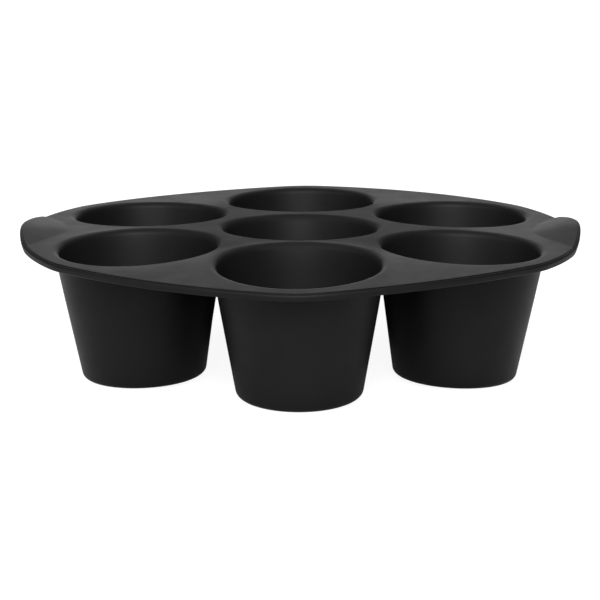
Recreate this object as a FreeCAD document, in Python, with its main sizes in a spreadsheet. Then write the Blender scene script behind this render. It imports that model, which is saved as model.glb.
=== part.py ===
"""Seven-cup silicone muffin mould: six tapered cups round a seventh, hung from one flat deck.

The real mould is a single moulding. It is divided here where its forms change: the deck plate,
the stepped rim, each cup with the rolled lip of its mouth, and the two upswept handles.
Millimetres, +Z up. The cups' floors stand on z = 0 and the centre cup's axis is the Z axis.
The handles lie along X and the front of the mould faces -Y.
"""
import FreeCAD, Part
import math
import os

import Sketcher

Vector = FreeCAD.Vector
UP = Vector(0, 0, 1)

# Driving sizes, in millimetres and degrees

SIZES = (
    ("cup_radius", 29.1, "outside of a cup's cone where it would cross the deck's top"),
    ("wall_taper", 10.1, "lean of a cup's wall from upright, in degrees"),
    ("wall_thickness", 1.8, "cup wall, square to its surface"),
    ("floor_thickness", 2.0, "cup floor"),
    ("floor_corner", 2.4, "outside round between wall and floor"),
    ("inner_corner", 2.0, "inside round between wall and floor"),
    ("lip_radius", 2.6, "rolled lip between the deck's top and the inside of a cup"),
    ("lip_land", 0.75, "flat ring round the lip that belongs to the cup"),
    ("deck_height", 45.7, "deck's top above the surface that the cups stand on"),
    ("deck_thickness", 2.0, "deck plate"),
    ("web_width", 3.6, "deck left between two neighbouring cups' rings"),
    ("deck_margin", 1.8, "deck left between a cup's ring and the rim"),
    ("side_bulge", 4.6, "bow of the four slanting sides beyond a straight edge"),
    ("handle_bulge", 8.9, "bow of the two sides that carry the handles"),
    ("rim_band", 1.5, "width of the rim's top"),
    ("rim_height", 2.7, "rim from the deck's top to its lower edge"),
    ("step_height", 0.6, "upper part of the rim, above the parting line"),
    ("step_width", 1.0, "ledge of the parting line"),
    ("handle_width", 58.0, "handle along the rim's top edge, from crease to crease"),
    ("handle_depth", 17.0, "handle from the middle of its crease to the rim's top edge"),
    ("handle_rise", 3.5, "tip of a handle above the deck's top"),
)

# The outer cups in turn, anticlockwise from the back of the right handle, with their directions
CUP_NAMES = ("right_back", "back", "left_back", "left_front", "front", "right_front")
CUP_STEP = 360 // len(CUP_NAMES)
OUTER_CUPS = [(f"cup_{name}", CUP_STEP // 2 + CUP_STEP * turn) for turn, name in enumerate(CUP_NAMES)]
HANDLE_TURNS = {"handle_right": 0, "handle_left": 180}

doc = FreeCAD.newDocument("muffin_mould")
sheet = doc.addObject("Spreadsheet::Sheet", "Sizes")
for row, (alias, number, meaning) in enumerate(SIZES, start=1):
    sheet.set(f"A{row}", alias)
    sheet.set(f"B{row}", str(number))
    sheet.set(f"C{row}", meaning)
    sheet.setAlias(f"B{row}", alias)

# Sizes that follow from the driving ones

DERIVED = (
    ("inner_radius", "Sizes.cup_radius - Sizes.wall_thickness / cos(Sizes.wall_taper)"),
    ("lip_start", "Derived.inner_radius + Sizes.lip_radius * tan(45 - Sizes.wall_taper / 2)"),
    ("root_radius", "Sizes.cup_radius - Sizes.deck_thickness * tan(Sizes.wall_taper)"),
    ("ring_radius", "max(Derived.lip_start; Derived.root_radius) + Sizes.lip_land"),
    ("pitch", "2 * Derived.ring_radius + Sizes.web_width"),
    ("flange_radius", "Derived.ring_radius + Sizes.deck_margin + Sizes.rim_band"),
    ("side_back", "(Derived.pitch ^ 2 / 4 - 2 * cos(30) * Derived.pitch * Sizes.side_bulge"
                  " - Sizes.side_bulge ^ 2) / (2 * Sizes.side_bulge)"),
    ("side_radius", "Derived.side_back + Derived.pitch * cos(30) + Sizes.side_bulge"
                    " + Derived.flange_radius"),
    ("handle_back", "(Derived.pitch ^ 2 / 4 - 2 * cos(30) * Derived.pitch * Sizes.handle_bulge"
                    " - Sizes.handle_bulge ^ 2) / (2 * Sizes.handle_bulge)"),
    ("handle_radius", "Derived.handle_back + Derived.pitch * cos(30) + Sizes.handle_bulge"
                      " + Derived.flange_radius"),
    ("crease_span", "sqrt(Derived.handle_radius ^ 2 - Sizes.handle_width ^ 2 / 4)"
                    " - Derived.handle_radius + Sizes.handle_depth"),
    ("crease_radius", "(Derived.crease_span ^ 2 + Sizes.handle_width ^ 2 / 4)"
                      " / (2 * Derived.crease_span)"),
    ("crease_centre", "Derived.handle_radius - Derived.handle_back - Sizes.handle_depth"
                      " + Derived.crease_radius"),
)
derived = doc.addObject("App::VarSet", "Derived")
for name, expression in DERIVED:
    derived.addProperty("App::PropertyFloat", name)
    derived.setExpression(name, expression)
doc.recompute()


def value(expression):
    """The number that an expression gives for the sizes as they stand."""
    result = sheet.evalExpression(expression)
    return float(getattr(result, "Value", result))


def polar(radius, degrees, height=0.0):
    """The point at a radius and a direction from the Z axis."""
    turn = math.radians(degrees)
    return Vector(radius * math.cos(turn), radius * math.sin(turn), height)


def direction(point):
    """The direction of a point from the Z axis, in radians."""
    return math.atan2(point.y, point.x)


def new_body(label):
    body = doc.addObject("PartDesign::Body", label)
    body.Label = label
    return body


def new_sketch(body, name, role, height="0"):
    """A sketch on one of the body's own origin planes, raised by an expression."""
    sketch = body.newObject("Sketcher::SketchObject", name)
    plane = next(feature for feature in body.Origin.OriginFeatures if feature.Role == role)
    sketch.AttachmentSupport = [(plane, "")]
    sketch.MapMode = "FlatFace"
    sketch.setExpression("AttachmentOffset.Base.z", height)
    return sketch


def bind(sketch, name, expression, kind, *where):
    """A named dimension of a sketch that follows an expression."""
    index = sketch.addConstraint(Sketcher.Constraint(kind, *where, value(expression)))
    sketch.renameConstraint(index, name)
    sketch.setExpression(f"Constraints.{name}", expression)


def bind_centre(sketch, name, geometry, degrees):
    """Holds a circle's or arc's centre on the axis of the outer cup in that direction."""
    for kind, function in (("DistanceX", "cos"), ("DistanceY", "sin")):
        expression = f"Derived.pitch * {function}({degrees})"
        if abs(value(expression)) < 1e-9:
            sketch.addConstraint(Sketcher.Constraint("PointOnObject", geometry, 3, -2))
        else:
            bind(sketch, f"{name}_{kind}", expression, kind, -1, 1, geometry, 3)


def pad(body, sketch, name, length):
    feature = body.newObject("PartDesign::Pad", name)
    feature.Profile = sketch
    feature.setExpression("Length", length)
    return feature


def round_edges(body, base, name, radius, wanted):
    """A fillet on those edges of the last feature that the test accepts."""
    doc.recompute()
    names = [f"Edge{i}" for i, edge in enumerate(base.Shape.Edges, start=1) if wanted(edge)]
    feature = body.newObject("PartDesign::Fillet", name)
    feature.Base = (base, names)
    feature.setExpression("Radius", radius)
    return feature


def circle_at(radius, height):
    """Accepts the full circle of that radius and height."""
    def wanted(edge):
        curve = edge.Curve
        if not isinstance(curve, Part.Circle):
            return False
        return abs(curve.Radius - radius) < 1e-4 and abs(curve.Center.z - height) < 1e-4
    return wanted


# Cups

def make_cup(label, degrees=None):
    """A tapered cup, turned about its axis, with the ring of deck that carries it."""
    body = new_body(label)
    sketch = new_sketch(body, f"{label}_profile", "XZ_Plane")
    floor_radius = "Sizes.cup_radius - Sizes.deck_height * tan(Sizes.wall_taper)"
    inner_floor = ("Derived.inner_radius"
                   " - (Sizes.deck_height - Sizes.floor_thickness) * tan(Sizes.wall_taper)")
    under_deck = "Sizes.deck_height - Sizes.deck_thickness"
    corners = (
        ("axis_foot", "0", "0"),
        ("floor_edge", floor_radius, "0"),
        ("root", "Derived.root_radius", under_deck),
        ("ring_foot", "Derived.ring_radius", under_deck),
        ("ring_top", "Derived.ring_radius", "Sizes.deck_height"),
        ("lip", "Derived.inner_radius", "Sizes.deck_height"),
        ("inner_floor", inner_floor, "Sizes.floor_thickness"),
        ("axis_floor", "0", "Sizes.floor_thickness"),
    )
    points = [Vector(value(across), value(up), 0) for _, across, up in corners]
    for start, end in zip(points, points[1:] + points[:1]):
        sketch.addGeometry(Part.LineSegment(start, end))
    for line, (name, across, up) in enumerate(corners):
        previous = (line - 1) % len(corners)
        sketch.addConstraint(Sketcher.Constraint("Coincident", previous, 2, line, 1))
        if across == "0":
            sketch.addConstraint(Sketcher.Constraint("PointOnObject", line, 1, -2))
        else:
            bind(sketch, f"{name}_across", across, "DistanceX", -1, 1, line, 1)
        if up == "0":
            sketch.addConstraint(Sketcher.Constraint("PointOnObject", line, 1, -1))
        else:
            bind(sketch, f"{name}_up", up, "DistanceY", -1, 1, line, 1)
    cup = body.newObject("PartDesign::Revolution", f"{label}_turned")
    cup.Profile = sketch
    cup.ReferenceAxis = (sketch, ["V_Axis"])
    cup.Angle = 360
    for name, radius, across, up in (
        ("lip", "Sizes.lip_radius", "Derived.inner_radius", "Sizes.deck_height"),
        ("corner", "Sizes.floor_corner", floor_radius, "0"),
        ("inside", "Sizes.inner_corner", inner_floor, "Sizes.floor_thickness"),
    ):
        cup = round_edges(body, cup, f"{label}_{name}", radius, circle_at(value(across), value(up)))
    if degrees is not None:
        body.setExpression("Placement.Base.x", f"Derived.pitch * cos({degrees})")
        body.setExpression("Placement.Base.y", f"Derived.pitch * sin({degrees})")
    return body


# Outline of the deck and rim

def bow(side):
    """Which bow the side in that direction has."""
    return "handle" if side in HANDLE_TURNS.values() else "side"


def add_outline(sketch, name, offset):
    """The closed outline of the rim's top edge, moved outwards by an expression.

    A round corner about each outer cup and a bowed side between neighbours. Every joint is tangent.
    """
    reach = value(f"Derived.flange_radius + {offset}")
    pitch = value("Derived.pitch")
    centres = {side: polar(-value(f"Derived.{bow(side)}_back"), side) for side in range(0, 360, CUP_STEP)}
    arcs = []
    for _, degrees in OUTER_CUPS:
        cup = polar(pitch, degrees)
        following = (degrees + CUP_STEP // 2) % 360
        after = centres[following]
        start = direction(cup - centres[degrees - CUP_STEP // 2])
        end = direction(cup - after)
        corner = sketch.addGeometry(Part.ArcOfCircle(Part.Circle(cup, UP, reach), start, end))
        bind(sketch, f"{name}_{degrees}", f"Derived.flange_radius + {offset}", "Radius", corner)
        bind_centre(sketch, f"{name}_{degrees}", corner, degrees)
        next_cup = polar(pitch, degrees + CUP_STEP)
        radius = (cup - after).Length + reach
        side_end = direction(next_cup - after)
        side = sketch.addGeometry(Part.ArcOfCircle(Part.Circle(after, UP, radius), end, side_end))
        expression = f"Derived.{bow(following)}_radius + {offset}"
        bind(sketch, f"{name}_{degrees}_side", expression, "Radius", side)
        arcs += [corner, side]
    for arc, following in zip(arcs, arcs[1:] + arcs[:1]):
        sketch.addConstraint(Sketcher.Constraint("Tangent", arc, 2, following, 1))


def cut_handle_gaps(body, base, label):
    """Takes the ground of both handles out of a plate, as far as their round creases."""
    sketch = new_sketch(body, f"{label}_gap", "XY_Plane", "Sizes.deck_height")
    centre = Vector(value("Derived.crease_centre"), 0, 0)
    crease = sketch.addGeometry(Part.Circle(centre, UP, value("Derived.crease_radius")))
    bind(sketch, "crease", "Derived.crease_radius", "Radius", crease)
    bind(sketch, "crease_centre", "Derived.crease_centre", "DistanceX", -1, 1, crease, 3)
    sketch.addConstraint(Sketcher.Constraint("PointOnObject", crease, 3, -1))
    doc.recompute()
    whole = base.Shape.Volume
    pocket = body.newObject("PartDesign::Pocket", f"{label}_right_gap")
    pocket.Profile = sketch
    pocket.Type = "ThroughAll"
    both = body.newObject("PartDesign::PolarPattern", f"{label}_both_gaps")
    both.Originals = [pocket]
    both.Axis = (sketch, ["N_Axis"])
    both.Angle = 360
    both.Occurrences = len(HANDLE_TURNS)
    body.Tip = both
    doc.recompute()
    if both.Shape.Volume >= pocket.Shape.Volume or pocket.Shape.Volume >= whole:
        raise RuntimeError(f"{label}: the ground of the handles was not cut out")
    return both


# Deck and rim

def make_deck():
    """The flat plate inside the rim, with a hole for each cup's ring."""
    body = new_body("deck")
    sketch = new_sketch(body, "deck_outline", "XY_Plane", "Sizes.deck_height - Sizes.deck_thickness")
    add_outline(sketch, "edge", "(-Sizes.rim_band)")
    ring = value("Derived.ring_radius")
    hole = sketch.addGeometry(Part.Circle(Vector(), UP, ring))
    sketch.addConstraint(Sketcher.Constraint("Coincident", hole, 3, -1, 1))
    bind(sketch, "hole_centre", "Derived.ring_radius", "Radius", hole)
    for _, degrees in OUTER_CUPS:
        hole = sketch.addGeometry(Part.Circle(polar(value("Derived.pitch"), degrees), UP, ring))
        bind_centre(sketch, f"hole_{degrees}", hole, degrees)
        bind(sketch, f"hole_{degrees}_size", "Derived.ring_radius", "Radius", hole)
    plate = pad(body, sketch, "deck_plate", "Sizes.deck_thickness")
    cut_handle_gaps(body, plate, "deck")
    return body


def make_rim():
    """The thicker edge round the deck: a narrow upper part on a wider one, with a ledge between."""
    body = new_body("rim")
    lower_edge = "Sizes.deck_height - Sizes.rim_height"
    parting_line = "Sizes.deck_height - Sizes.step_height"
    lower = new_sketch(body, "rim_lower_outline", "XY_Plane", lower_edge)
    add_outline(lower, "outer", "Sizes.step_width")
    add_outline(lower, "inner", "(-Sizes.rim_band)")
    pad(body, lower, "rim_lower", "Sizes.rim_height - Sizes.step_height")
    upper = new_sketch(body, "rim_upper_outline", "XY_Plane", parting_line)
    add_outline(upper, "outer", "0")
    add_outline(upper, "inner", "(-Sizes.rim_band)")
    riser = pad(body, upper, "rim_upper", "Sizes.step_height")
    cut_handle_gaps(body, riser, "rim")
    return body


# Handles

def handle_top():
    """The scoop of the right handle: its round crease swept outwards and up, past the rim."""
    centre = Vector(value("Derived.crease_centre"), 0, value("Sizes.deck_height"))
    circle = Part.Circle(centre, UP, value("Derived.crease_radius"))
    inner_half = Part.ArcOfCircle(circle, math.radians(90), math.radians(270))
    slope = Vector(value("Sizes.handle_depth"), 0, value("Sizes.handle_rise"))
    return inner_half.toShape().extrude(slope * 2)


def make_handle(label, turn):
    """A handle: a plate as thick as the deck, with the stepped rim along its outer edge."""
    rim_height = value("Sizes.rim_height")
    bands = (
        ("Derived.handle_radius - Sizes.rim_band", 0.0, value("Sizes.deck_thickness")),
        ("Derived.handle_radius", 0.0, rim_height),
        ("Derived.handle_radius + Sizes.step_width", value("Sizes.step_height"), rim_height),
    )
    bow_centre = Vector(-value("Derived.handle_back"), 0, 0)
    remaining = handle_top()
    solids = []
    for radius, start, end in bands:
        inside = Part.makeCylinder(value(radius), 2 * value("Sizes.deck_height"), bow_centre)
        band = remaining.common(inside).Faces[0]
        solids.append(band.translated(UP * -start).extrude(UP * (start - end)))
        remaining = remaining.cut(inside)
    handle = doc.addObject("Part::Feature", label)
    handle.Label = label
    handle.Shape = solids[0].multiFuse(solids[1:]).Solids[0]
    handle.Placement = FreeCAD.Placement(Vector(), FreeCAD.Rotation(UP, turn))
    return handle


# The whole mould

pieces = [make_deck(), make_rim(), make_cup("cup_centre")]
pieces += [make_cup(label, degrees) for label, degrees in OUTER_CUPS]
pieces += [make_handle(label, turn) for label, turn in HANDLE_TURNS.items()]
doc.recompute()

for item in doc.Objects:
    if "Invalid" in item.State or "Error" in item.State:
        raise RuntimeError(f"{item.Label} did not compute: {item.State}")
for piece in pieces:
    if piece.Shape.isNull() or not piece.Shape.isValid() or not piece.Shape.Solids:
        raise RuntimeError(f"{piece.Label} is not a valid solid")

os.makedirs("parts", exist_ok=True)
for piece in pieces:
    piece.Shape.exportStep(f"parts/{piece.Label}.step")
    print(piece.Label, len(piece.Shape.Solids), "solid", round(piece.Shape.Volume, 1), "mm3")
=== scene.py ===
"""Looks of a black silicone muffin mould, built round its CAD frame.

Silicone is soft, so the mould doesn't stand as flat as it was moulded: its deck is domed and the
front of it droops. Each piece is modelled flat and then bent by one shared rule, so that
neighbouring pieces still meet edge to edge. Units are metres.
"""
import math

import bmesh
import bpy
from mathutils import Matrix, Vector
from mathutils.geometry import delaunay_2d_cdt
from mathutils.kdtree import KDTree


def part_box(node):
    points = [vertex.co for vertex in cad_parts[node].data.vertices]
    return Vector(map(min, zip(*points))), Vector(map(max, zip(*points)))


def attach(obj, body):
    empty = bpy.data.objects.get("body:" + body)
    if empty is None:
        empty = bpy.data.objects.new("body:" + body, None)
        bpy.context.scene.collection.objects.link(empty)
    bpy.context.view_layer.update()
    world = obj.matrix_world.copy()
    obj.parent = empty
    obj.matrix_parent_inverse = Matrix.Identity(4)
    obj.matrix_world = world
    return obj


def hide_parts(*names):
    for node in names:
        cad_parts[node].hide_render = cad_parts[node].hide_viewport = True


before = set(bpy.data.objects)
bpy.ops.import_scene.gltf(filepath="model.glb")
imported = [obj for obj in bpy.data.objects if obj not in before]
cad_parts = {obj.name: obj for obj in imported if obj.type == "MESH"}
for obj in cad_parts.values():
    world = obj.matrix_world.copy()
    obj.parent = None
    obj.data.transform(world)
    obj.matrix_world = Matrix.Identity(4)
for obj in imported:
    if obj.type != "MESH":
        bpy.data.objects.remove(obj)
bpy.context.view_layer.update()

MM = 0.001

# Sizes read from the frame

DECK_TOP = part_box("deck")[1][2]
DECK_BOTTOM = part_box("deck")[0][2]
RIM_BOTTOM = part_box("rim")[0][2]
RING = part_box("cup_centre")[1][0]
PITCH = (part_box("cup_back")[0][1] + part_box("cup_back")[1][1]) / 2
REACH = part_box("handle_right")[1][0]
HANDLE_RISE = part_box("handle_right")[1][2] - DECK_TOP

# Sizes of the mouldings within each piece, as in the CAD model

CUP_RADIUS = 29.1 * MM
FLOOR = 2.0 * MM
FLOOR_CORNER = 2.4 * MM
INNER_CORNER = 2.0 * MM
LIP = 2.6 * MM
ROOT = 1.0 * MM
DECK_MARGIN = 1.8 * MM
SIDE_BULGE = 4.6 * MM
HANDLE_WIDTH = 58.0 * MM
HANDLE_DEPTH = 17.0 * MM
RIM_BAND = 1.5 * MM
STEP_WIDTH = 1.0 * MM

# Sizes that look a little different from those of the CAD model

TAPER = math.radians(9.8)
WALL = 1.5 * MM
STEP_HEIGHT = 0.35 * MM
HANDLE_BULGE = 9.2 * MM

# Small rounds along the rim and the handles' creases

EDGE_ROUND = 0.15 * MM
LEDGE_FILLET = 0.08 * MM
LEDGE_ROUND = 0.8 * MM
FOOT_ROUND = 0.6 * MM
CREASE_ROUND = 1.2 * MM

# Where each handle begins to rise: at a blunt V, with a slope for each of its arms

CREASE_REACH = 82.0 * MM
CREASE_BEND = 12.0 * MM
CREASE_FRONT = 0.75
CREASE_BACK = 0.5

# Sizes that follow

SIDE_CUP = Vector((PITCH * math.cos(math.radians(30)), PITCH / 2))
CORNER_RADIUS = RING + DECK_MARGIN + RIM_BAND


def bow_back(bulge):
    """How far behind the middle of the mould the centre of a bowed side lies."""
    return (SIDE_CUP.y ** 2 - 2 * SIDE_CUP.x * bulge - bulge ** 2) / (2 * bulge)


HANDLE_CENTRE = Vector((-bow_back(HANDLE_BULGE), 0))
HANDLE_RADIUS = SIDE_CUP.x + HANDLE_BULGE + CORNER_RADIUS - HANDLE_CENTRE.x
CREASE_SPAN = math.sqrt(HANDLE_RADIUS ** 2 - HANDLE_WIDTH ** 2 / 4) - HANDLE_RADIUS + HANDLE_DEPTH
CREASE_RADIUS = (CREASE_SPAN ** 2 + HANDLE_WIDTH ** 2 / 4) / (2 * CREASE_SPAN)
CREASE_START = HANDLE_RADIUS - HANDLE_DEPTH

# Directions of the bowed sides in front and of the outer cups, in degrees

LEFT_SIDE = 240
RIGHT_SIDE = 300
CUP_ANGLES = {
    "cup_right_back": 30,
    "cup_back": 90,
    "cup_left_back": 150,
    "cup_left_front": 210,
    "cup_front": 270,
    "cup_right_front": 330,
}

# Mesh density

CUP_SEGMENTS = 144
FOOT_TURN = 5
ROUND_STEPS = 8
WALL_STEP = 5.0 * MM
SIDE_STEPS = 48
FRONT_STEPS = 12
CORNER_STEPS = 6
HANDLE_STEPS = 10
HANDLE_COLUMNS = 80
HANDLE_ROWS = 28
SPACING = 3.0 * MM
ROW_SPACING = SPACING * math.sqrt(3) / 2
EDGE_GAP = SPACING * 0.6
SHARP = math.radians(35)
NEAR = 0.3 * MM
TINY = 1e-9

# Settings of the triangulation, which works in millimetres: keep what lies inside, and its tolerance

KEEP_INSIDE = 1
TOLERANCE = 1e-5

# How the soft mould stands: slopes and curvatures of its deck, in powers of metres, the depth below
# the deck at which the cups' walls no longer follow it, and the share of its rise that each handle keeps

SIDE_TILT = -0.0022
TILT = -0.0211
DOME_ACROSS = -0.2319
DOME_DEEP = -0.2921
FRONT_DROOP = 3.564
SIDE_TWIST = 3.335
SIDE_LEAN = -0.134
CORNER_LEAN = 1.566
STIFF_DEPTH = 12.0 * MM
HANDLE_STANDS = {"handle_right": 1.22, "handle_left": 0.8}

# Cups that tip further forward than the deck round them: slope, rise, and the width of the fold

CUP_TIPS = {"cup_front": (0.0103, 0.3 * MM), "cup_left_front": (0.0065, 0.0)}
FOLD = 4.5 * MM


def on_circle(centre, radius, degrees):
    turn = math.radians(degrees)
    return Vector((centre[0] + radius * math.cos(turn), centre[1] + radius * math.sin(turn)))


def cup_centre(node):
    """Middle of a cup in plan."""
    if node in CUP_ANGLES:
        return on_circle((0, 0), PITCH, CUP_ANGLES[node])
    return Vector((0, 0))


def tipped(x, y):
    """How far the rings that tip forward lift a point of the deck."""
    lift = 0.0
    for node, (slope, rise) in CUP_TIPS.items():
        centre = cup_centre(node)
        beyond = (Vector((x, y)) - centre).length - RING
        hold = min(max(1 - beyond / FOLD, 0.0), 1.0)
        lift += hold * hold * (3 - 2 * hold) * (rise + slope * (y - centre.y))
    return lift


def droop(x, y):
    """How far the deck as it stands lies above the deck as moulded, at a point in plan."""
    even = TILT * y + DOME_ACROSS * x * x + DOME_DEEP * y * y + FRONT_DROOP * y ** 3 + SIDE_TWIST * x * x * y
    return even + SIDE_TILT * x + SIDE_LEAN * x ** 3 + CORNER_LEAN * x * y * y + tipped(x, y)


def deck_normal(x, y):
    """Which way the deck as it stands faces."""
    slope_x = (droop(x + NEAR, y) - droop(x - NEAR, y)) / (2 * NEAR)
    slope_y = (droop(x, y + NEAR) - droop(x, y - NEAR)) / (2 * NEAR)
    return Vector((-slope_x, -slope_y, 1)).normalized()


def bend(point):
    """Where a point of the mould as moulded lies in the mould as it stands."""
    x, y, z = point
    return Vector((x, y, DECK_TOP + droop(x, y))) + deck_normal(x, y) * (z - DECK_TOP)


def hang(point, centre):
    """Where a point of a cup lies: its ring bends with the deck, and below that the cup stays round."""
    middle = Vector((centre.x, centre.y, DECK_TOP))
    turn = Vector((0, 0, 1)).rotation_difference(deck_normal(centre.x, centre.y))
    stiff = min(max((DECK_BOTTOM - point.z) / STIFF_DEPTH, 0.0), 1.0)
    return bend(point).lerp(bend(middle) + turn @ (point - middle), stiff)


def standing_lift():
    """How far the bent mould rises to stand on the lowest edge of its floors."""
    foot = CUP_RADIUS - DECK_TOP * math.tan(TAPER) - FLOOR_CORNER
    lowest = 0.0
    for node in CUP_ANGLES:
        for degrees in range(0, 360, FOOT_TURN):
            plan = on_circle(cup_centre(node), foot, degrees)
            lowest = min(lowest, hang(Vector((plan.x, plan.y, 0.0)), cup_centre(node)).z)
    return -lowest


LIFT = standing_lift()


# Profiles

def rounded(corners):
    """A line through corners of (across, up, radius), each rounded by its own radius."""
    line = []
    for i, (across, up, radius) in enumerate(corners):
        here = Vector((across, up))
        if not radius:
            line.append(here)
            continue
        before = (Vector(corners[i - 1][:2]) - here).normalized()
        after = (Vector(corners[i + 1][:2]) - here).normalized()
        half = before.angle(after) / 2
        centre = here + (before + after).normalized() * (radius / math.sin(half))
        start = here + before * (radius / math.tan(half)) - centre
        turn = math.pi - 2 * half
        if before.x * after.y - before.y * after.x > 0:
            turn = -turn
        for step in range(ROUND_STEPS + 1):
            line.append(centre + Matrix.Rotation(turn * step / ROUND_STEPS, 2) @ start)
    return line


def divided(line, longest):
    """The same line with points added, so that no span is longer than given."""
    points = [line[0]]
    for start, end in zip(line, line[1:]):
        steps = max(1, math.ceil((end - start).length / longest))
        points += [start.lerp(end, step / steps) for step in range(1, steps + 1)]
    return points


def cup_profile():
    """Half section of a cup, from the middle of its underside round to the middle of its inside."""
    lean = math.tan(TAPER)
    thickness = WALL / math.cos(TAPER)

    def outside(up):
        return CUP_RADIUS - (DECK_TOP - up) * lean

    return divided(rounded((
        (0.0, 0.0, 0),
        (outside(0.0), 0.0, FLOOR_CORNER),
        (outside(DECK_BOTTOM), DECK_BOTTOM, ROOT),
        (RING, DECK_BOTTOM, 0),
        (RING, DECK_TOP, 0),
        (outside(DECK_TOP) - thickness, DECK_TOP, LIP),
        (outside(FLOOR) - thickness, FLOOR, INNER_CORNER),
        (0.0, FLOOR, 0),
    )), WALL_STEP)


def rim_profile():
    """Section of the rim, as (offset from its top edge, height), from the deck's top round to the deck."""
    ledge = DECK_TOP - STEP_HEIGHT
    return rounded((
        (-RIM_BAND, DECK_TOP, 0),
        (0.0, DECK_TOP, EDGE_ROUND),
        (0.0, ledge, LEDGE_FILLET),
        (STEP_WIDTH, ledge, LEDGE_ROUND),
        (STEP_WIDTH, RIM_BOTTOM, FOOT_ROUND),
        (-RIM_BAND, RIM_BOTTOM, 0),
        (-RIM_BAND, DECK_BOTTOM, 0),
    ))


# Plan of the deck and rim

def crease_angle(radius):
    """Half the angle, in degrees, that a handle spans on a circle about the centre of its bowed side."""
    if radius <= CREASE_START:
        return 0.0
    away = CREASE_START + CREASE_RADIUS
    cosine = (away ** 2 + radius ** 2 - CREASE_RADIUS ** 2) / (2 * away * radius)
    return math.degrees(math.acos(cosine))


def handle_radii():
    """Radii of the rows of a handle, from the middle of its crease to the rim, closest at the crease."""
    depth = HANDLE_DEPTH - RIM_BAND
    return [CREASE_START + depth * (row / HANDLE_ROWS) ** 2 for row in range(HANDLE_ROWS + 1)]


def arc(centre, radius, start, end, steps):
    """Points along an arc, without its end."""
    return [on_circle(centre, radius, start + (end - start) * step / steps) for step in range(steps)]


def front_edge(offset):
    """The front stretch of the outline at an offset, from the left handle's crease to the right one's."""
    radius = HANDLE_RADIUS + offset
    corner = CORNER_RADIUS + offset
    side_back = bow_back(SIDE_BULGE)
    left_side = on_circle((0, 0), -side_back, LEFT_SIDE)
    right_side = on_circle((0, 0), -side_back, RIGHT_SIDE)
    left_cup = cup_centre("cup_left_front")
    from_side = left_cup - left_side
    first = math.degrees(math.atan2(from_side.y, from_side.x)) % 360
    last = 2 * LEFT_SIDE - first
    further = RIGHT_SIDE - LEFT_SIDE
    side = from_side.length + corner
    open_angle = crease_angle(radius)
    handle_end = math.degrees(math.atan2(SIDE_CUP.y, SIDE_CUP.x - HANDLE_CENTRE.x))
    points = arc(-HANDLE_CENTRE, radius, 180 + open_angle, 180 + handle_end, HANDLE_STEPS)
    points += arc(left_cup, corner, 180 + handle_end, first, CORNER_STEPS)
    points += arc(left_side, side, first, last, SIDE_STEPS)
    points += arc(cup_centre("cup_front"), corner, last, first + further, FRONT_STEPS)
    points += arc(right_side, side, first + further, last + further, SIDE_STEPS)
    points += arc(cup_centre("cup_right_front"), corner, last + further, 360 - handle_end, CORNER_STEPS)
    points += arc(HANDLE_CENTRE, radius, 360 - handle_end, 360 - open_angle, HANDLE_STEPS)
    points.append(on_circle(HANDLE_CENTRE, radius, 360 - open_angle))
    return points


def deck_outline():
    """The deck's edge: the rim's inside, broken by the creases of both handles."""
    front = front_edge(-RIM_BAND)
    back = [Vector((point.x, -point.y)) for point in reversed(front)]
    radii = handle_radii()[:-1]
    inward = [on_circle(HANDLE_CENTRE, radius, -crease_angle(radius)) for radius in reversed(radii)]
    outward = [on_circle(HANDLE_CENTRE, radius, crease_angle(radius)) for radius in radii[1:]]
    right = inward + outward
    left = [-point for point in right]
    return front + right + back + left


def handle_lift(x, y):
    """How far a handle stands above the deck at a point: nothing at its crease, most at its tip."""
    root = HANDLE_CENTRE.x + CREASE_START + CREASE_RADIUS - math.sqrt(CREASE_RADIUS ** 2 - y * y)
    slope = CREASE_FRONT if y < 0 else CREASE_BACK
    crease = CREASE_REACH + slope * (math.hypot(y, CREASE_BEND) - CREASE_BEND)
    beyond = max(abs(x) - max(crease, root), 0.0)
    eased = min(beyond, CREASE_ROUND)
    depth = HANDLE_CENTRE.x + HANDLE_RADIUS - CREASE_REACH
    return HANDLE_RISE * (beyond - eased + eased ** 2 / (2 * CREASE_ROUND)) / (depth - CREASE_ROUND / 2)


# Meshes

class Shape:
    """Points and faces of one piece. Points are given as moulded and kept as they stand."""

    def __init__(self, cup=None):
        self.cup = cup
        self.points = []
        self.faces = []

    def add(self, x, y, z):
        moulded = Vector((x, y, z))
        standing = bend(moulded) if self.cup is None else hang(moulded, self.cup)
        self.points.append(standing + Vector((0, 0, LIFT)))
        return len(self.points) - 1

    def skin(self, first, second, closed=False):
        """Faces between two rows of points. A row of one point is the tip of a fan."""
        count = max(len(first), len(second))
        for i in range(count if closed else count - 1):
            j = (i + 1) % count
            face = [row[k % len(row)] for row, k in ((first, i), (first, j), (second, j), (second, i))]
            self.faces.append(list(dict.fromkeys(face)))

    def build(self, name, node, material):
        mesh = bpy.data.meshes.new(name)
        mesh.from_pydata(self.points, [], self.faces)
        whole = bmesh.new()
        whole.from_mesh(mesh)
        bmesh.ops.recalc_face_normals(whole, faces=whole.faces)
        whole.to_mesh(mesh)
        whole.free()
        mesh.shade_smooth()
        mesh.set_sharp_from_angle(angle=SHARP)
        mesh.materials.append(material)
        piece = bpy.data.objects.new(name, mesh)
        bpy.context.collection.objects.link(piece)
        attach(piece, "root")
        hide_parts(node)


def ring_points(centre):
    """The edge of a cup's ring in plan, which the deck's hole shares."""
    return arc(centre, RING, 0, 360, CUP_SEGMENTS)


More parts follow.
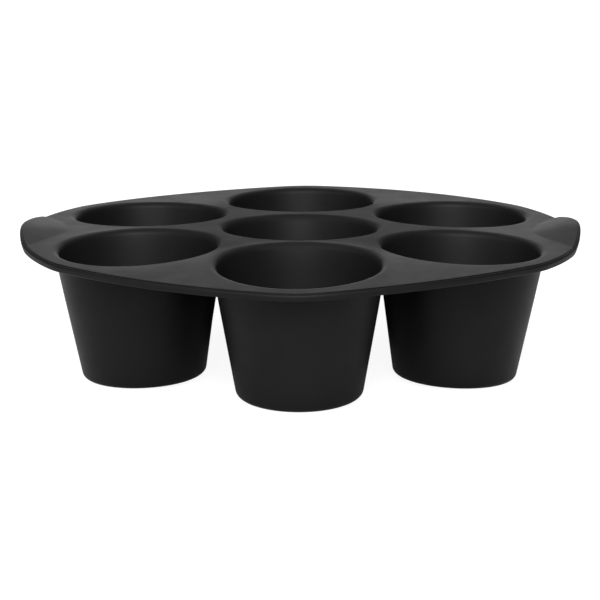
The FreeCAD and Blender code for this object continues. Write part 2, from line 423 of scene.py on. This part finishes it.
def make_cup(node, material):
    """A cup turned from its profile."""
    centre = cup_centre(node)
    shape = Shape(centre)
    rows = []
    for across, up in cup_profile():
        if across > TINY:
            plan = arc(centre, across, 0, 360, CUP_SEGMENTS)
        else:
            plan = [centre]
        rows.append([shape.add(point.x, point.y, up) for point in plan])
    for lower, upper in zip(rows, rows[1:]):
        shape.skin(lower, upper, closed=True)
    shape.build(f"{node}_soft", node, material)


def inside_holes(point):
    cups = [cup_centre(node) for node in ("cup_centre", *CUP_ANGLES)]
    return any((point - centre).length < RING for centre in cups)


def make_deck(material):
    """The deck plate, with even triangles between its edge and the cups' rings."""
    outline = deck_outline()
    loops = [outline] + [ring_points(cup_centre(node)) for node in ("cup_centre", *CUP_ANGLES)]
    edge_points = [point for loop in loops for point in loop]
    near_edge = KDTree(len(edge_points))
    for i, point in enumerate(edge_points):
        near_edge.insert((point.x, point.y, 0), i)
    near_edge.balance()
    grid = []
    rows = math.ceil(REACH / ROW_SPACING)
    for row in range(-rows, rows + 1):
        for column in range(-rows, rows + 1):
            point = Vector(((column + row % 2 / 2) * SPACING, row * ROW_SPACING))
            if near_edge.find((point.x, point.y, 0))[2] > EDGE_GAP and not inside_holes(point):
                grid.append(point)
    edges = []
    start = 0
    for loop in loops:
        edges += [(start + i, start + (i + 1) % len(loop)) for i in range(len(loop))]
        start += len(loop)
    plan = [point / MM for point in edge_points + grid]
    border = list(range(len(outline)))
    plan, _, triangles, *_ = delaunay_2d_cdt(plan, edges, [border], KEEP_INSIDE, TOLERANCE)
    plan = [point * MM for point in plan]
    kept = [face for face in triangles if not inside_holes(sum((plan[i] for i in face), Vector((0, 0))) / 3)]
    shape = Shape()
    used = sorted({i for face in kept for i in face})
    top = {i: shape.add(plan[i].x, plan[i].y, DECK_TOP) for i in used}
    bottom = {i: shape.add(plan[i].x, plan[i].y, DECK_BOTTOM) for i in used}
    sides = set()
    for face in kept:
        shape.faces.append([top[i] for i in face])
        shape.faces.append([bottom[i] for i in reversed(face)])
        sides.update(zip(face, face[1:] + face[:1]))
    for start, end in sides:
        if (end, start) not in sides:
            shape.faces.append([top[start], bottom[start], bottom[end], top[end]])
    shape.build("deck_soft", "deck", material)


def make_rim(material):
    """Both stretches of the rim, swept along the outline."""
    shape = Shape()
    for side in (1, -1):
        rows = []
        for offset, up in rim_profile():
            rows.append([shape.add(point.x, side * point.y, up) for point in front_edge(offset)])
        for row, following in zip(rows, rows[1:] + rows[:1]):
            shape.skin(row, following)
        shape.faces.append([row[0] for row in rows])
        shape.faces.append([row[-1] for row in rows])
    shape.build("rim_soft", "rim", material)


def make_handle(node, side, material):
    """A handle: a scooped plate inside its crease, with the rim along its outer edge."""
    shape = Shape()

    def row(radius, up):
        widest = crease_angle(radius)
        columns = HANDLE_COLUMNS if widest else 0
        indices = []
        for column in range(columns + 1):
            across = widest * (2 * column / columns - 1) if columns else 0
            plan = on_circle(HANDLE_CENTRE, radius, across)
            lifted = up + HANDLE_STANDS[node] * handle_lift(plan.x, plan.y)
            indices.append(shape.add(side * plan.x, plan.y, lifted))
        return indices

    radii = handle_radii()
    upper = [row(radius, DECK_TOP) for radius in radii[:-1]]
    rim = [row(HANDLE_RADIUS + offset, up) for offset, up in rim_profile()]
    lower = [row(radius, DECK_BOTTOM) for radius in radii[:-1]]
    around = upper + rim + lower[::-1]
    for first, second in zip(around, around[1:]):
        shape.skin(first, second)
    above = upper + rim[:1]
    below = lower + rim[-1:]
    for end in (0, -1):
        shape.faces.append([line[end] for line in rim])
        for i in range(len(above) - 1):
            wall = [above[i][end], above[i + 1][end], below[i + 1][end], below[i][end]]
            shape.faces.append(wall)
    shape.build(f"{node}_soft", node, material)


# Material: a noise has a scale, a detail and a roughness, and a bump has a strength and a depth

SPECULAR = 0.1
NOISE_RANGE = (0.3, 0.7)
BLOOM_NOISE = (38, 5, 0.6)
BLOOM_STOPS = ((0.3, (0.0040, 0.0040, 0.0041, 1)), (0.75, (0.0058, 0.0058, 0.0060, 1)))
PATCH_NOISE = (90, 4, 0.6)
PATCH_ROUGHNESS = (0.48, 0.55)
GRAIN_NOISE = (2600, 2, 0.5)
GRAIN_BUMP = (0.18, 0.05 * MM)
WAVE_NOISE = (24, 1, 0.4)
WAVE_BUMP = (0.35, 0.6 * MM)

# The middle of the deck is duller than the rest: how much rougher, how far that reaches along each
# axis, and the share of the reach over which it fades

DULLNESS = 0.16
DULL_REACH = (0.1, 0.1, 0.004)
DULL_EDGES = (0.25, 0.5)


def link(tree, source, socket, target, name):
    tree.links.new(source.outputs[socket], target.inputs[name])


def math_node(tree, operation, first, second):
    """One operation on two values, each a number or a (node, socket). Returns its own (node, socket)."""
    node = tree.nodes.new("ShaderNodeMath")
    node.operation = operation
    for i, value in enumerate((first, second)):
        if isinstance(value, tuple):
            tree.links.new(value[0].outputs[value[1]], node.inputs[i])
        else:
            node.inputs[i].default_value = value
    return node, "Value"


def remap(tree, source, socket, edges, ends, change="LINEAR"):
    """Maps a value between two edges to a change between two ends."""
    node = tree.nodes.new("ShaderNodeMapRange")
    node.interpolation_type = change
    node.inputs["From Min"].default_value = edges[0]
    node.inputs["From Max"].default_value = edges[1]
    node.inputs["To Min"].default_value = ends[0]
    node.inputs["To Max"].default_value = ends[1]
    link(tree, source, socket, node, "Value")
    return node


def noise(tree, coordinates, scale, detail, roughness):
    node = tree.nodes.new("ShaderNodeTexNoise")
    node.inputs["Scale"].default_value = scale
    node.inputs["Detail"].default_value = detail
    node.inputs["Roughness"].default_value = roughness
    link(tree, coordinates, "Object", node, "Vector")
    return node


def bump(tree, height, strength, depth):
    node = tree.nodes.new("ShaderNodeBump")
    node.inputs["Strength"].default_value = strength
    node.inputs["Distance"].default_value = depth
    link(tree, height, "Fac", node, "Height")
    return node


def fading(tree, coordinates, place, turn, reach):
    """A value of 1 at a place that falls to 0 at its reach along each axis."""
    mapping = tree.nodes.new("ShaderNodeMapping")
    mapping.vector_type = "TEXTURE"
    mapping.inputs["Location"].default_value = place
    mapping.inputs["Rotation"].default_value = turn
    mapping.inputs["Scale"].default_value = reach
    link(tree, coordinates, "Object", mapping, "Vector")
    gradient = tree.nodes.new("ShaderNodeTexGradient")
    gradient.gradient_type = "SPHERICAL"
    link(tree, mapping, "Vector", gradient, "Vector")
    return gradient


def silicone():
    """Satin black silicone: a fine moulded grain, soft unevenness and a faint bloom."""
    material = bpy.data.materials.new("silicone_black")
    material.use_nodes = True
    tree = material.node_tree
    shader = tree.nodes["Principled BSDF"]
    shader.inputs["Specular IOR Level"].default_value = SPECULAR
    coordinates = tree.nodes.new("ShaderNodeTexCoord")

    bloom = noise(tree, coordinates, *BLOOM_NOISE)
    colour = tree.nodes.new("ShaderNodeValToRGB")
    for element, (position, value) in zip(colour.color_ramp.elements, BLOOM_STOPS):
        element.position = position
        element.color = value
    link(tree, bloom, "Fac", colour, "Fac")
    link(tree, colour, "Color", shader, "Base Color")

    middle = fading(tree, coordinates, (0, 0, DECK_TOP + LIFT), (math.atan(TILT), 0, 0), DULL_REACH)
    dull = remap(tree, middle, "Fac", DULL_EDGES, (0, DULLNESS), "SMOOTHSTEP")
    patches = noise(tree, coordinates, *PATCH_NOISE)
    finish = remap(tree, patches, "Fac", NOISE_RANGE, PATCH_ROUGHNESS)
    roughness, socket = math_node(tree, "ADD", (finish, "Result"), (dull, "Result"))
    link(tree, roughness, socket, shader, "Roughness")

    fine = bump(tree, noise(tree, coordinates, *GRAIN_NOISE), *GRAIN_BUMP)
    soft = bump(tree, noise(tree, coordinates, *WAVE_NOISE), *WAVE_BUMP)
    link(tree, soft, "Normal", fine, "Normal")
    link(tree, fine, "Normal", shader, "Normal")
    return material


# Stage, light and camera

FLOOR_COLOUR = (0.22, 0.22, 0.22, 1)
FLOOR_ROUGHNESS = 0.9
FLOOR_SPECULAR = 0.1
FLOOR_GLOW = 0.92
FLOOR_SIZE = 6.0
WHITE = (1, 1, 1, 1)

# Painted shadow: in reflections the floor's glow is turned down under the mould, in place of the mould's
# shade

SHADE = 0.25
SHADE_REACH = (0.15, 0.15, 0.15)
SHADE_EDGES = (0.35, 0.52)

# The studio's own light, and the heights between which its white horizon fades

AMBIENT = 0.03
HORIZON = (0.06, 0.12)

# Soft boxes: azimuth and elevation in degrees, width, height and power

LAMP_DISTANCE = 1.4
LAMPS = {
    "front": (270, 42, 0.9, 0.6, 27),
    "front_low": (270, 18, 1.0, 0.4, 9.5),
    "left": (205, 35, 0.9, 0.6, 6),
    "top": (270, 89, 0.9, 0.9, 3),
    "back": (90, 42, 1.0, 0.6, 3.9),
    "back_low": (90, 21, 1.0, 0.4, 0.55),
    "backdrop": (90, 10, 1.0, 0.3, 1.5),
}

SENSOR_WIDTH = 36
CAMERA_LENS = 147.08
CAMERA_ELEVATION = math.radians(12.061)
CAMERA_AZIMUTH = math.radians(0.367)
CAMERA_ROLL = math.radians(-0.035)
CAMERA_DISTANCE = 878.2 * MM
CAMERA_TARGET = Vector((-0.042 * MM, 0.0, 20.66 * MM))


def make_floor():
    """A floor that the camera, mirrors and glass see as white, apart from the mould's soft shadow, painted
    in reflections.
    """
    mesh = bpy.data.meshes.new("floor")
    half = FLOOR_SIZE / 2
    corners = [(-half, -half, 0), (half, -half, 0), (half, half, 0), (-half, half, 0)]
    mesh.from_pydata(corners, [], [(0, 1, 2, 3)])
    material = bpy.data.materials.new("pale_floor")
    material.use_nodes = True
    tree = material.node_tree
    shader = tree.nodes["Principled BSDF"]
    shader.inputs["Base Color"].default_value = FLOOR_COLOUR
    shader.inputs["Roughness"].default_value = FLOOR_ROUGHNESS
    shader.inputs["Specular IOR Level"].default_value = FLOOR_SPECULAR
    shader.inputs["Emission Color"].default_value = WHITE
    coordinates = tree.nodes.new("ShaderNodeTexCoord")
    # Painted shadow: the glow that reflections see fades to SHADE under the mould
    under = fading(tree, coordinates, (0, 0, 0), (0, 0, 0), SHADE_REACH)
    shade = remap(tree, under, "Fac", SHADE_EDGES, (1, SHADE), "SMOOTHSTEP")
    path = tree.nodes.new("ShaderNodeLightPath")
    seen = math_node(tree, "MULTIPLY", (path, "Is Glossy Ray"), (shade, "Result"))
    seen = math_node(tree, "MAXIMUM", seen, (path, "Is Camera Ray"))
    seen = math_node(tree, "MAXIMUM", seen, (path, "Is Transmission Ray"))
    glow, socket = math_node(tree, "MULTIPLY", seen, FLOOR_GLOW)
    link(tree, glow, socket, shader, "Emission Strength")
    mesh.materials.append(material)
    floor = bpy.data.objects.new("floor", mesh)
    bpy.context.collection.objects.link(floor)


def make_world():
    """A dim studio. Its horizon is white in reflections, and all of it to the camera and through glass."""
    world = bpy.data.worlds.new("studio")
    bpy.context.scene.world = world
    world.use_nodes = True
    tree = world.node_tree
    coordinates = tree.nodes.new("ShaderNodeTexCoord")
    split = tree.nodes.new("ShaderNodeSeparateXYZ")
    link(tree, coordinates, "Generated", split, "Vector")
    low = remap(tree, split, "Z", HORIZON, (1, 0))
    path = tree.nodes.new("ShaderNodeLightPath")
    seen = math_node(tree, "MULTIPLY", (path, "Is Glossy Ray"), (low, "Result"))
    seen = math_node(tree, "MAXIMUM", seen, (path, "Is Camera Ray"))
    seen = math_node(tree, "MAXIMUM", seen, (path, "Is Transmission Ray"))
    strength, socket = math_node(tree, "MAXIMUM", seen, AMBIENT)
    background = tree.nodes["Background"]
    background.inputs["Color"].default_value = WHITE
    link(tree, strength, socket, background, "Strength")


def make_lamp(name, azimuth, elevation, width, height, power):
    """A soft box aimed at the mould from a direction in degrees."""
    data = bpy.data.lights.new(name, "AREA")
    data.shape = "RECTANGLE"
    data.size = width
    data.size_y = height
    data.energy = power
    level = LAMP_DISTANCE * math.cos(math.radians(elevation))
    side = on_circle((0, 0), level, azimuth)
    place = Vector((side.x, side.y, DECK_TOP + LAMP_DISTANCE * math.sin(math.radians(elevation))))
    lamp = bpy.data.objects.new(name, data)
    lamp.location = place
    lamp.rotation_euler = (Vector((0, 0, DECK_TOP)) - place).to_track_quat("-Z", "Y").to_euler()
    bpy.context.collection.objects.link(lamp)


def make_camera():
    """The photograph's view."""
    data = bpy.data.cameras.new("camera")
    data.sensor_width = SENSOR_WIDTH
    data.lens = CAMERA_LENS
    back = Vector((
        math.sin(CAMERA_AZIMUTH) * math.cos(CAMERA_ELEVATION),
        -math.cos(CAMERA_AZIMUTH) * math.cos(CAMERA_ELEVATION),
        math.sin(CAMERA_ELEVATION),
    ))
    right = (-back).cross(Vector((0, 0, 1))).normalized()
    up = right.cross(-back)
    rolled_right = right * math.cos(CAMERA_ROLL) + up * math.sin(CAMERA_ROLL)
    rolled_up = up * math.cos(CAMERA_ROLL) - right * math.sin(CAMERA_ROLL)
    camera = bpy.data.objects.new("camera", data)
    turn = Matrix((rolled_right, rolled_up, back)).transposed().to_4x4()
    camera.matrix_world = Matrix.Translation(CAMERA_TARGET + back * CAMERA_DISTANCE) @ turn
    bpy.context.collection.objects.link(camera)
    bpy.context.scene.camera = camera


black = silicone()
make_deck(black)
make_rim(black)
for cup in ("cup_centre", *CUP_ANGLES):
    make_cup(cup, black)
make_handle("handle_right", 1, black)
make_handle("handle_left", -1, black)
make_floor()
make_world()
for lamp, setting in LAMPS.items():
    make_lamp(lamp, *setting)
make_camera()
bpy.context.scene.view_settings.view_transform = "Standard"
